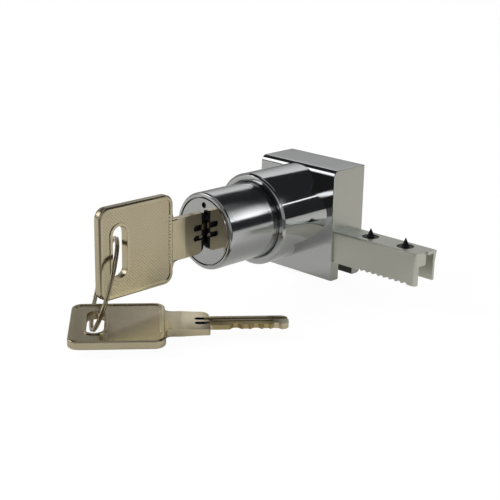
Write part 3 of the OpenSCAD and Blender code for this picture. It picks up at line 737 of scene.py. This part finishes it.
class PUSHLOCK_OT_barrel(bpy.types.Operator):
    """Models the push barrel"""

    bl_idname = "pushlock.barrel"
    bl_label = "Barrel"

    def execute(self, context):
        s = context.scene.pushlock_barrel
        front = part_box("push_barrel")[0].y
        back = front + s.total
        shoulder = front + s.shoulder
        clip_low, clip_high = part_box("carrier_clip")
        clip_radius, play = clip_high.x + SEAT, 0.05 * MM
        arc = [(s.radius - s.edge + s.edge * math.sin(turn), front + s.edge - s.edge * math.cos(turn))
               for turn in [math.radians(step * 15) for step in range(7)]]
        barrel = turned_piece("barrel", [
            (s.face_radius, front), *arc, (s.radius, back), (s.cavity_radius, back),
            (s.cavity_radius, clip_high.y + play), (clip_radius, clip_high.y + play),
            (clip_radius, clip_low.y - play), (s.cavity_radius, clip_low.y - play),
            (s.cavity_radius, shoulder), (s.plug_radius, shoulder), (s.plug_radius, front + s.face_depth),
            (s.face_radius, front + s.face_depth)])
        latch_low, latch_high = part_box("side_latch")
        pin_low, pin_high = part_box("guide_pin")
        first_low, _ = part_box("wafer_1")
        _, last_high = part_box("wafer_5")
        gap, groove_half, groove_end, drop = 0.2 * MM, 2.4 * MM, 0.4 * MM, 6.5 * MM
        groove_start, groove_stop = first_low.y - groove_end, last_high.y + groove_end
        cut(barrel,
            box_piece("latch_slot", (-s.radius - MM, latch_low.y - gap / 2, latch_low.z - gap / 2),
                      (0, latch_high.y + gap / 2, latch_high.z + gap / 2)),
            box_piece("guide_slot", (pin_low.x - gap, pin_low.y - PUSH_TRAVEL - gap, -s.radius - MM),
                      (pin_high.x + gap, pin_high.y + gap, pin_high.z + gap)),
            box_piece("wafer_groove", (-groove_half, groove_start, -drop), (groove_half, groove_stop, 0)),
            box_piece("turned_groove", (-drop, groove_start, -groove_half), (0, groove_stop, groove_half)))
        paint(barrel, plated_metal("Polished chrome barrel", context.scene.pushlock_colours.chrome, 0.12, 0.5))
        settle(barrel, "barrel", "chrome_barrel", "push_barrel")
        return {"FINISHED"}


class PUSHLOCK_OT_plug(bpy.types.Operator):
    """Models the plug with its face, keyway, index dot and wafer slots"""

    bl_idname = "pushlock.plug"
    bl_label = "Plug"

    def execute(self, context):
        s = context.scene.pushlock_barrel
        keys = context.scene.pushlock_keys
        tints = context.scene.pushlock_colours
        low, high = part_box("plug_core")
        clip_low, clip_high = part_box("plug_clip")
        front, core_end = low.y, high.y - s.rib_height
        gap, fit, key_room = 0.1 * MM, 0.15 * MM, 0.2 * MM
        slot_half, slot_reach = 2.3 * MM, 6 * MM
        ear_reach, ear_drop = 3.6 * MM, 2 * MM
        spring_at, spring_radius, spring_top = 2.95 * MM, 0.58 * MM, 2.4 * MM
        plug = turned_piece("plug", [
            (s.disc_radius, front), (s.disc_radius, front + s.disc_thickness),
            (s.core_radius, front + s.disc_thickness),
            (s.core_radius, clip_low.y - gap), (s.core_groove, clip_low.y - gap), (s.core_groove, clip_high.y + gap),
            (s.core_radius, clip_high.y + gap), (s.core_radius, core_end)], closed=False)
        round_edges(plug, lambda v: near(v.y, front), s.disc_edge, 3)
        half, wide = keys.blade_thickness / 2 + fit, keys.blade_width / 2 + fit
        reach = keys.blade - keys.gap + key_room
        cut(plug, box_piece("keyway", (-half, front - MM, -wide), (half, front + reach, wide)),
            box_piece("mouth", (-s.mouth_width / 2, front - MM, -s.mouth_low),
                      (s.mouth_width / 2, front + s.mouth_depth, s.mouth_high)),
            rod_piece("dot", s.dot_radius, (0, front - MM, s.dot_height), (0, front + s.dot_depth, s.dot_height), 32))
        for i in range(1, 6):
            wafer_low, wafer_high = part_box(f"wafer_{i}")
            near_y, far_y = wafer_low.y - gap, wafer_high.y + gap
            middle = (near_y + far_y) / 2
            cut(plug, box_piece("slot", (-slot_half, near_y, -slot_reach), (slot_half, far_y, slot_reach)),
                box_piece("ear_slot", (0, near_y, -ear_drop), (ear_reach, far_y, 0)),
                rod_piece("spring_room", spring_radius, (spring_at, middle, -gap),
                          (spring_at, middle, spring_top), 24))
        rib = box_piece("rib", (-s.rib_width / 2, core_end - gap, -s.rib_reach), (s.rib_width / 2, high.y, s.rib_reach))
        soften(rib, width=0.05 * MM)
        plug = join(plug, rib)
        paint(plug, plated_metal("Polished chrome plug", tints.chrome, 0.06, 0.06),
              black_oxide_and_painted_shade("Black paint and dark keyway", tints.black))
        # The index dot is painted black, and the sunk keyway mouth is painted dark as shade.
        skin, rim = 0.05 * MM, 0.3 * MM
        for face in plug.data.polygons:
            middle = face.center
            sunk = (front + skin < middle.y < front + s.disc_thickness
                    and middle.xz.length < s.disc_radius - rim)
            face.material_index = 1 if sunk else 0
        settle(plug, "plug", "chrome_barrel", "plug_core")
        return {"FINISHED"}


class PUSHLOCK_OT_keys(bpy.types.Operator):
    """Models one key, and places it in the lock and on the table"""

    bl_idname = "pushlock.keys"
    bl_label = "Keys"

    # Cuts, grooves and beads of a key, in mm.
    cut_depths = (0.9, 0.35, 0.75, 0.45, 0.65)
    cut_start = 6.2
    cut_pitch = 2.2
    cut_floor = 0.5
    run_outs = ((-1.6, -0.3), (0.7, 2.1))
    groove = (-1.32, -0.52)
    groove_depth = 0.3
    milled_depth = 0.12
    bead_radius = 0.3
    bead_inset = 0.1

    def execute(self, context):
        s = context.scene.pushlock_keys
        tints = context.scene.pushlock_colours
        nickel = nickel_plate("Nickel plated brass key", tints.nickel, s.hatch)
        brass = milled_brass("Milled brass", tints.brass)
        # The dark material paints shade into the milled grooves and onto the blade beside the shoulder.
        dark = black_oxide_and_painted_shade("Dark oil in the milled grooves", tints.black)
        key = join(self.bow(s), self.border(s), self.neck(s), self.blade(s), *self.fillets(s), self.beads(s))
        key.name = "key_in_lock"
        paint(key, nickel, brass, dark, pale_nickel_highlight("Worn bright nickel beads", tints.nickel))
        self.mark(key, s)
        alone(key)
        bpy.ops.object.duplicate()
        spare = bpy.context.object
        spare.name = "key_on_table"
        # Between the shoulder and the plug the blade stands in shade, painted in the dark groove material.
        for face in key.data.polygons:
            if HAIR < face.center.y < s.gap:
                face.material_index = 2
        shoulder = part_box("inserted_key")[1].y - s.blade
        place(key, Matrix.Translation((0, shoulder, 0)))
        slot = Vector((0, self.slot_middle(s), s.bow_offset))
        place(spare, Matrix.Translation(SPARE_SLOT) @ turned(-40.4, "Z") @ turned(92.5, "Y")
              @ Matrix.Translation(-slot))
        settle(key, "key", "nickel_brass", "inserted_key")
        settle(spare, "spare", "nickel_brass", "spare_key")
        return {"FINISHED"}

    def slot_middle(self, s):
        return -s.neck - s.bow + s.slot_inset

    def stadium(self, name, s, grow, reach):
        half_width, half_length = s.slot_width / 2 + grow, s.slot_length / 2 + grow
        middle = self.slot_middle(s)
        plate = box_piece(name, (-reach, middle - half_width, s.bow_offset - half_length),
                          (reach, middle + half_width, s.bow_offset + half_length))
        nearly = 0.999
        round_edges(plate, lambda v: True, half_width * nearly, 16, along="X")
        return plate

    def bow(self, s):
        half = s.bow / 2
        thick = s.bow_thickness / 2
        low, high = -s.neck - s.bow, -s.neck
        bow = box_piece("bow", (-thick, low, s.bow_offset - half), (thick, high, s.bow_offset + half))
        round_edges(bow, lambda v: True, s.bow_corner, 10, along="X")
        round_edges(bow, lambda v: True, s.rim_round, 5, along="YZ")
        open_edit(bow)
        for side in (-1, 1):
            pick_faces(bow, lambda middle, facing: facing.x * side > 0.999)
            bpy.ops.mesh.inset(thickness=s.rim - s.rim_round)
            extrude(-side * s.rim_height, 0, 0)
        close_edit()
        cut(bow, self.stadium("slot_room", s, s.slot_border / 2, PAST + MM))
        return bow

    def border(self, s):
        ring = self.stadium("border", s, s.slot_border, s.bow_thickness / 2)
        cut(ring, self.stadium("slot_hole", s, 0, PAST + MM))
        soften(ring, width=0.22 * MM, segments=3)
        return ring

    def fillets(self, s):
        """Hollow corners where the neck runs into the bow."""
        fillets = []
        neck_lap, bow_lap = 0.2 * MM, 0.5 * MM
        for side in (-1, 1):
            thick, half, root = s.neck_thickness / 2, side * s.neck_width / 2, -s.neck
            low, high = sorted((half - side * neck_lap, half + side * s.fillet))
            web = box_piece("fillet", (-thick, root - bow_lap, low), (thick, root + s.fillet, high))
            middle = (root + s.fillet, half + side * s.fillet)
            cut(web, rod_piece("hollow", s.fillet, (-PAST, *middle), (PAST, *middle), 48))
            fillets.append(web)
        return fillets

    def beads(self, s):
        """Row of small domes along the rim beside the neck, on both faces."""
        field = s.bow_thickness / 2 - s.rim_height
        step, count, flatter = 0.76 * MM, 15, 0.75
        foot = (field - SEAT, 0, 0)
        bpy.ops.object.select_all(action="DESELECT")
        bpy.ops.mesh.primitive_ico_sphere_add(subdivisions=2, radius=self.bead_radius * MM, location=(
            field, -s.neck - s.rim - self.bead_inset * MM, s.bow_offset - step * (count - 1) / 2))
        bead = new_piece("bead")
        open_edit(bead)
        bpy.ops.mesh.select_all(action="SELECT")
        bpy.ops.mesh.bisect(plane_co=foot, plane_no=(1, 0, 0), clear_inner=True, use_fill=True)
        bpy.ops.mesh.select_all(action="SELECT")
        bpy.ops.transform.resize(value=(flatter, 1, 1), center_override=foot)
        close_edit()
        apply_modifier(bead, "ARRAY", count=count, use_relative_offset=False, use_constant_offset=True,
                       constant_offset_displace=(0, 0, step))
        apply_modifier(bead, "MIRROR", use_axis=(True, False, False), use_mirror_merge=False)
        return bead

    def neck(self, s):
        half = s.neck_width / 2
        thick = s.neck_thickness / 2
        bow_lap, corner, steps, nearly_half = 0.6 * MM, 0.5 * MM, 16, 0.49
        neck = box_piece("neck", (-thick, -s.neck - bow_lap, -half), (thick, s.lead, half))
        round_edges(neck, lambda v: near(v.y, s.lead) and near(v.z, -half), s.heel, 8, "X")
        round_edges(neck, lambda v: near(v.y, s.lead) and near(v.z, half), corner, 4, "X")
        open_edit(neck)
        for step in range(1, steps + 1):
            split(neck, (0, s.lead - s.scoop * step / steps, 0), (0, 1, 0))
        radius = (s.scoop ** 2 + s.scoop_depth ** 2) / (2 * s.scoop_depth)
        stations = sorted({round(v.co.y, 6) for v in bmesh.from_edit_mesh(neck.data).verts
                           if v.co.y > s.lead - s.scoop})
        for station in stations:
            deep = s.scoop_depth - (radius - math.sqrt(radius ** 2 - (station - s.lead) ** 2))
            pick_edges(neck, lambda v: abs(v.y - station) < HAIR / 10, "XZ")
            bpy.ops.transform.resize(value=((thick - deep) / thick, 1, 1), center_override=(0, station, 0))
        close_edit()
        for low, high in self.run_outs:
            for side in (-1, 1):
                inner, outer = sorted((side * s.groove_floor, side * PAST))
                groove = box_piece("run_out", (inner, -s.run_out, low * MM), (outer, MM, high * MM))
                round_edges(groove, lambda v: near(v.y, -s.run_out), (high - low) * nearly_half * MM, 6, "X")
                cut(neck, groove)
        return neck

    def blade(self, s):
        half = s.blade_width / 2
        thick = s.blade_thickness / 2
        neck_lap = 0.5 * MM
        blade = box_piece("blade", (-thick, -neck_lap, -half), (thick, s.blade, half))
        places = [self.cut_start + i * self.cut_pitch for i in range(len(self.cut_depths))]

        def depth_at(y):
            return max(0, *[d - max(0, abs(y - at) - self.cut_floor) for d, at in zip(self.cut_depths, places)])

        root = s.gap / MM
        stations = sorted({root, *(round(at + side * reach, 2) for at, d in zip(places, self.cut_depths)
                                   for side in (-1, 1) for reach in (self.cut_floor, self.cut_floor + d))})
        open_edit(blade)
        for station in stations:
            split(blade, (0, station * MM, 0), (0, 1, 0))
        for station in stations:
            pick_edges(blade, lambda v: near(v.y, station * MM) and near(v.z, half))
            bpy.ops.transform.translate(value=(0, 0, -depth_at(station) * MM))
        close_edit()
        round_edges(blade, lambda v: near(v.y, s.blade), s.tip, along="X")
        low, high = (edge * MM for edge in self.groove)
        for side in (-1, 1):
            inner, outer = sorted((side * (thick - self.groove_depth * MM), side * PAST))
            cut(blade, box_piece("groove", (inner, -MM, low), (outer, s.blade + MM, high)))
            inner, outer = sorted((side * (thick - self.milled_depth * MM), side * PAST))
            cut(blade, box_piece("step", (inner, 0, SEAT), (outer, s.blade - 2 * s.tip, 2 * PAST)))
        return blade

    def mark(self, key, s):
        """Gives the key its plan as a UV map, its hatched field as an attribute, brass on the milled faces, painted
        shade in the groove run-outs and a painted highlight on the beads.
        """
        mesh = key.data
        plan = mesh.uv_layers.new(name="key_plan")
        field = mesh.attributes.new("bow_field", "FLOAT", "FACE")
        sunk = s.bow_thickness / 2 - s.rim_height
        milled = s.blade_thickness / 2 - self.milled_depth * MM
        blade_start, blade_end = 0.2 * MM, s.blade - 2 * s.tip
        skin, groove_wall = 0.1 * MM, 0.68 * MM
        lowest, highest = self.run_outs[0][0] * MM - skin, self.run_outs[1][1] * MM + skin
        bead_row = -s.neck - s.rim - self.bead_inset * MM
        bead_area = 0.05 * MM * MM
        for face in mesh.polygons:
            for corner in face.loop_indices:
                co = mesh.vertices[mesh.loops[corner].vertex_index].co
                plan.data[corner].uv = (co.y, co.z)
            middle, across = face.center, abs(face.center.x)
            on_field = abs(face.normal.x) > 0.9 and near(across, sunk) and middle.y < -s.neck
            field.data[face.index].value = 1.0 if on_field else 0.0
            cut_floor = blade_start < middle.y < blade_end and face.normal.z > 0.3
            cut_side = middle.y > blade_start and near(across, milled)
            # The milled run-outs of the grooves get the dark material: painted shade.
            run_out = (-s.run_out - skin < middle.y < s.lead - HAIR and across < groove_wall
                       and lowest < middle.z < highest)
            # Faces of the beads get the pale bead material: a painted highlight.
            bead = (abs(middle.y - bead_row) < self.bead_radius * MM + HAIR
                    and sunk < across < sunk + self.bead_radius * MM
                    and len(face.vertices) == 3 and face.area < bead_area)
            face.material_index = 2 if run_out else 3 if bead else 1 if cut_floor or cut_side else 0


class PUSHLOCK_OT_ring(bpy.types.Operator):
    """Models the split ring, two turns of flat wire"""

    bl_idname = "pushlock.ring"
    bl_label = "Split ring"

    def execute(self, context):
        s = context.scene.pushlock_keys
        wire = s.ring_wire / 2
        fill, flat = 0.94, 1.7
        ring = wound_wire("split_ring", fill * wire / 2, flat, (s.ring_radius, 0, -wire), wire, 2, 160)
        paint(ring, drawn_metal("Nickel plated wire", context.scene.pushlock_colours.nickel, 0.2, 0.25))
        place(ring, Matrix.Translation(RING_MIDDLE) @ turned(54.3, "Z") @ turned(107.3, "Y") @ turned(90, "Z"))
        settle(ring, "ring", "nickel_wire", "key_ring")
        return {"FINISHED"}


class PUSHLOCK_OT_spring(bpy.types.Operator):
    """Models the return spring; the coil keeps the CAD part's length, though the real spring shortens as the barrel is
    pushed
    """

    bl_idname = "pushlock.spring"
    bl_label = "Return spring"

    def execute(self, context):
        s = context.scene.pushlock_barrel
        low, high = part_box("return_spring")
        long = high.y - low.y
        rise = (long - s.spring_wire) / s.spring_turns
        spring = wound_wire("return_coil", s.spring_wire / 2, 1, (s.spring_radius, 0, s.spring_wire / 2), rise,
                            s.spring_turns, 48)
        paint(spring, drawn_metal("Drawn spring steel wire", context.scene.pushlock_colours.spring, 0.22, 0.2))
        place(spring, Matrix.Translation((0, low.y, 0)) @ turned(-90, "X"))
        settle(spring, "housing", "spring_steel", "return_spring")
        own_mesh(spring)
        return {"FINISHED"}


class PUSHLOCK_OT_inner(bpy.types.Operator):
    """Finishes the CAD parts that keep their shape: bolt, pin, clips, wafers and springs"""

    bl_idname = "pushlock.inner"
    bl_label = "Inner parts"

    def execute(self, context):
        tints = context.scene.pushlock_colours
        steel = drawn_metal("Zinc plated steel", tints.steel, 0.28, 0.4)
        wire = drawn_metal("Drawn spring wire", tints.spring, 0.22, 0.2)
        brass = drawn_metal("Stamped brass", tints.brass, 0.3, 0.3)
        finishes = {
            steel: ("guide_pin", "bolt_carrier", "lock_bolt", "tail_cam", "side_latch"),
            wire: ("carrier_clip", "plug_clip", "wafer_springs", "latch_spring"),
            brass: tuple(f"wafer_{i}" for i in range(1, 6)),
        }
        for material, names in finishes.items():
            for name in names:
                paint(frame["nodes"][name], material)
        return {"FINISHED"}


class PUSHLOCK_OT_stage(bpy.types.Operator):
    """Makes the floor, the studio and the camera"""

    bl_idname = "pushlock.stage"
    bl_label = "Stage"

    def execute(self, context):
        scene = context.scene
        scene.view_settings.view_transform = "Standard"
        self.world(scene)
        self.floor()
        middle = (0, -0.03, 0)
        self.card("card_back", (-0.383, 0.542, 0.23), (0, -0.03, 0.1), 0.47, 0.5, (0.22, 0.85))
        self.card("card_left", (-0.653, 0.175, 0.18), middle, 0.6, 0.5, (0.28, 0.28))
        self.card("card_strip", (0.48, 0.545, 0.34), middle, 0.3, 0.02, (2.2, 2.2))
        self.card("card_near", (0.043, 0.031, 0.07), (-0.03, 0.031, 0.0017), 0.018, 0.088, (2, 0.15), reach=0.62)
        self.card("card_front", (0.49, -0.66, 0.35), middle, 0.06, 0.12, (2.5, 2.5))
        self.card("card_softbox", (-0.49, -0.46, 0.38), middle, 0.3, 0.36, (1.7, 1.7))
        # Soft walls and a ceiling that the sides, back and top of the metal see.
        for name, spot, target, width, height in (
                ("wall_front", (0, -1.3, 0.6), (0, -0.03, 0.6), 2.8, 1.2),
                ("wall_right", (1.4, -0.5, 0.6), (0, -0.5, 0.6), 1.8, 1.2),
                ("wall_left", (-1.4, -0.5, 0.6), (0, -0.5, 0.6), 1.8, 1.2),
                ("ceiling", (0, -0.03, 1.3), middle, 1.1, 1.1)):
            self.card(name, spot, target, width, height, (0.3, 0.3), bounce="first")
        self.card("card_right", (0.662, 0.322, 0.24), middle, 0.5, 0.44, (1.5, 1.5), bounce="later",
                  tint=(0.86, 0.96, 1.06, 1))
        self.lamp(scene)
        self.camera(scene)
        return {"FINISHED"}

    def camera(self, scene):
        s = scene.pushlock_stage
        data = bpy.data.cameras.new("camera")
        data.lens = s.focal
        data.sensor_width = 36
        data.clip_start = 0.01
        camera = bpy.data.objects.new("camera", data)
        scene.collection.objects.link(camera)
        turn = Euler((math.pi / 2 - s.elevation, 0, s.azimuth)).to_matrix() @ Matrix.Rotation(s.roll, 3, "Z")
        aim = Vector((0, -scene.pushlock_casting.block_depth, 0))
        camera.matrix_world = (Matrix.Translation(aim + turn @ Vector((s.shift_right, s.shift_up, s.distance)))
                               @ turn.to_4x4())
        scene.camera = camera

    def world(self, scene):
        """White to the eye, dark in the metal, and a plain level of light elsewhere."""
        world = bpy.data.worlds.new("studio")
        scene.world = world
        world.use_nodes = True
        tree = world.node_tree
        tree.nodes.clear()
        path = add(tree, "ShaderNodeLightPath")
        plain = add(tree, "ShaderNodeBackground", {"Color": (1, 1, 1, 1), "Strength": 0.43})
        dark = add(tree, "ShaderNodeBackground", {"Color": (0.9, 0.95, 1, 1), "Strength": 0.025})
        white = add(tree, "ShaderNodeBackground", {"Color": (1, 1, 1, 1), "Strength": 1.0})
        both = blend(tree, path.outputs["Is Glossy Ray"], plain, dark)
        seen = blend(tree, path.outputs["Is Camera Ray"], both, white)
        add(tree, "ShaderNodeOutputWorld", {"Surface": seen.outputs[0]})

    def floor(self):
        """White table: white to the eye, and in the metal partly a painted glow, paler under the lock than in front of
        it and to its left, where shade is painted.
        """
        drop = 0.05 * MM
        bpy.ops.object.select_all(action="DESELECT")
        bpy.ops.mesh.primitive_plane_add(size=3, location=(0, 0, CAD_BOX[0][2] - drop))
        floor = bpy.context.object
        floor.name = "floor"
        material, tree = new_material("White table")
        path = add(tree, "ShaderNodeLightPath")
        where = object_place(tree)
        # In the metal the table fades dark in front of the lock and to its left: painted shade.
        dims = []
        for way, old, new in (((0.69, -0.72, 0), (0.07, 0.088), (0.0, 0.8)),
                              ((0.72, 0.69, 0), (0.0, -0.04), (0.0, 0.28))):
            along = add(tree, "ShaderNodeVectorMath", {0: where, 1: way}, operation="DOT_PRODUCT")
            dims.append(remap(tree, along.outputs["Value"], old, new))
        tone = ramp(tree, calc(tree, "MAXIMUM", *dims), (0, (1, 1, 0.96)), (1, (0, 0, 0)))
        # The glow is painted light on the table as the metal sees it.
        glow = add(tree, "ShaderNodeEmission", {"Color": tone, "Strength": 0.6})
        dull = add(tree, "ShaderNodeBsdfDiffuse", {"Color": tone})
        mirrored = blend(tree, 0.2, dull, glow)
        matt = add(tree, "ShaderNodeBsdfDiffuse", {"Color": (0.9, 0.9, 0.9, 1)})
        white = add(tree, "ShaderNodeEmission", {"Color": (1, 1, 1, 1), "Strength": 1.045})
        plain = blend(tree, calc(tree, "MULTIPLY", path.outputs["Is Camera Ray"], 0.92), matt, white)
        table = blend(tree, path.outputs["Is Glossy Ray"], plain, mirrored)
        # The table can be looked through from below, so the lock's underside shows too.
        below = add(tree, "ShaderNodeNewGeometry").outputs["Backfacing"]
        surface(tree, blend(tree, below, table, add(tree, "ShaderNodeBsdfTransparent")))
        paint(floor, material)

    def card(self, name, spot, target, width, height, glow, reach=1.0, bounce="any", tint=(1, 1, 1, 1)):
        """Reflector card that only the metal sees: at any mirroring, the first alone or the later ones alone.

        Its glow runs from its foot up to a share of its height.
        """
        spot, target = Vector(spot), Vector(target)
        bpy.ops.object.select_all(action="DESELECT")
        bpy.ops.mesh.primitive_plane_add(size=1, location=spot,
                                         rotation=(target - spot).to_track_quat("Z", "Y").to_euler())
        card = new_piece(name, (width, height, 1))
        material, tree = new_material(name)
        up = add(tree, "ShaderNodeSeparateXYZ", {"Vector": add(tree, "ShaderNodeTexCoord").outputs["UV"]}).outputs["Y"]
        power = remap(tree, up, (0.0, reach), glow, interpolation_type="SMOOTHSTEP")
        if bounce != "any":
            depth = add(tree, "ShaderNodeLightPath").outputs["Glossy Depth"]
            seen = calc(tree, "LESS_THAN" if bounce == "first" else "GREATER_THAN", depth, 1.5)
            # Elsewhere it is as dark as the studio behind it.
            power = calc(tree, "MULTIPLY_ADD", power, seen, 0.024)
            material.cycles.emission_sampling = "NONE"
        surface(tree, add(tree, "ShaderNodeEmission", {"Color": tint, "Strength": power}))
        paint(card, material)
        for way in ("camera", "diffuse", "transmission", "volume_scatter", "shadow"):
            setattr(card, "visible_" + way, False)

    def lamp(self, scene):
        """Soft light from the front left, which the metal doesn't mirror."""
        data = bpy.data.lights.new("softbox", "AREA")
        data.size = 0.35
        data.energy = 3.4
        lamp = bpy.data.objects.new("softbox", data)
        lamp.visible_glossy = False
        scene.collection.objects.link(lamp)
        spot = Vector((-0.49, -0.46, 0.47))
        lamp.matrix_world = Matrix.Translation(spot) @ spot.to_track_quat("Z", "Y").to_matrix().to_4x4()


class PUSHLOCK_PT_panel(bpy.types.Panel):
    """Lists the lock's pieces in the sidebar"""

    bl_label = "Push lock"
    bl_idname = "PUSHLOCK_PT_panel"
    bl_space_type = "VIEW_3D"
    bl_region_type = "UI"
    bl_category = "Push lock"

    def draw(self, context):
        for operator in OPERATORS:
            self.layout.operator(operator.bl_idname)
        for group in GROUPS:
            settings = getattr(context.scene, group)
            for name in settings.__annotations__:
                self.layout.prop(settings, name)


OPERATORS = (PUSHLOCK_OT_stage, PUSHLOCK_OT_casting, PUSHLOCK_OT_spikes, PUSHLOCK_OT_barrel, PUSHLOCK_OT_plug,
             PUSHLOCK_OT_keys, PUSHLOCK_OT_ring, PUSHLOCK_OT_spring, PUSHLOCK_OT_inner)
GROUPS = {"pushlock_casting": CastingSizes, "pushlock_barrel": BarrelSizes, "pushlock_keys": KeySizes,
          "pushlock_colours": LockColours, "pushlock_stage": StageSettings}


def register():
    for group in GROUPS.values():
        bpy.utils.register_class(group)
    for name, group in GROUPS.items():
        setattr(bpy.types.Scene, name, bpy.props.PointerProperty(type=group))
    for operator in OPERATORS:
        bpy.utils.register_class(operator)
    bpy.utils.register_class(PUSHLOCK_PT_panel)


def unregister():
    bpy.utils.unregister_class(PUSHLOCK_PT_panel)
    for operator in reversed(OPERATORS):
        bpy.utils.unregister_class(operator)
    for name, group in GROUPS.items():
        delattr(bpy.types.Scene, name)
        bpy.utils.unregister_class(group)


def main():
    register()
    for step in (bpy.ops.pushlock.stage, bpy.ops.pushlock.casting, bpy.ops.pushlock.spikes, bpy.ops.pushlock.barrel,
                 bpy.ops.pushlock.plug, bpy.ops.pushlock.keys, bpy.ops.pushlock.ring, bpy.ops.pushlock.spring,
                 bpy.ops.pushlock.inner):
        step()


if __name__ == "__main__":
    main()
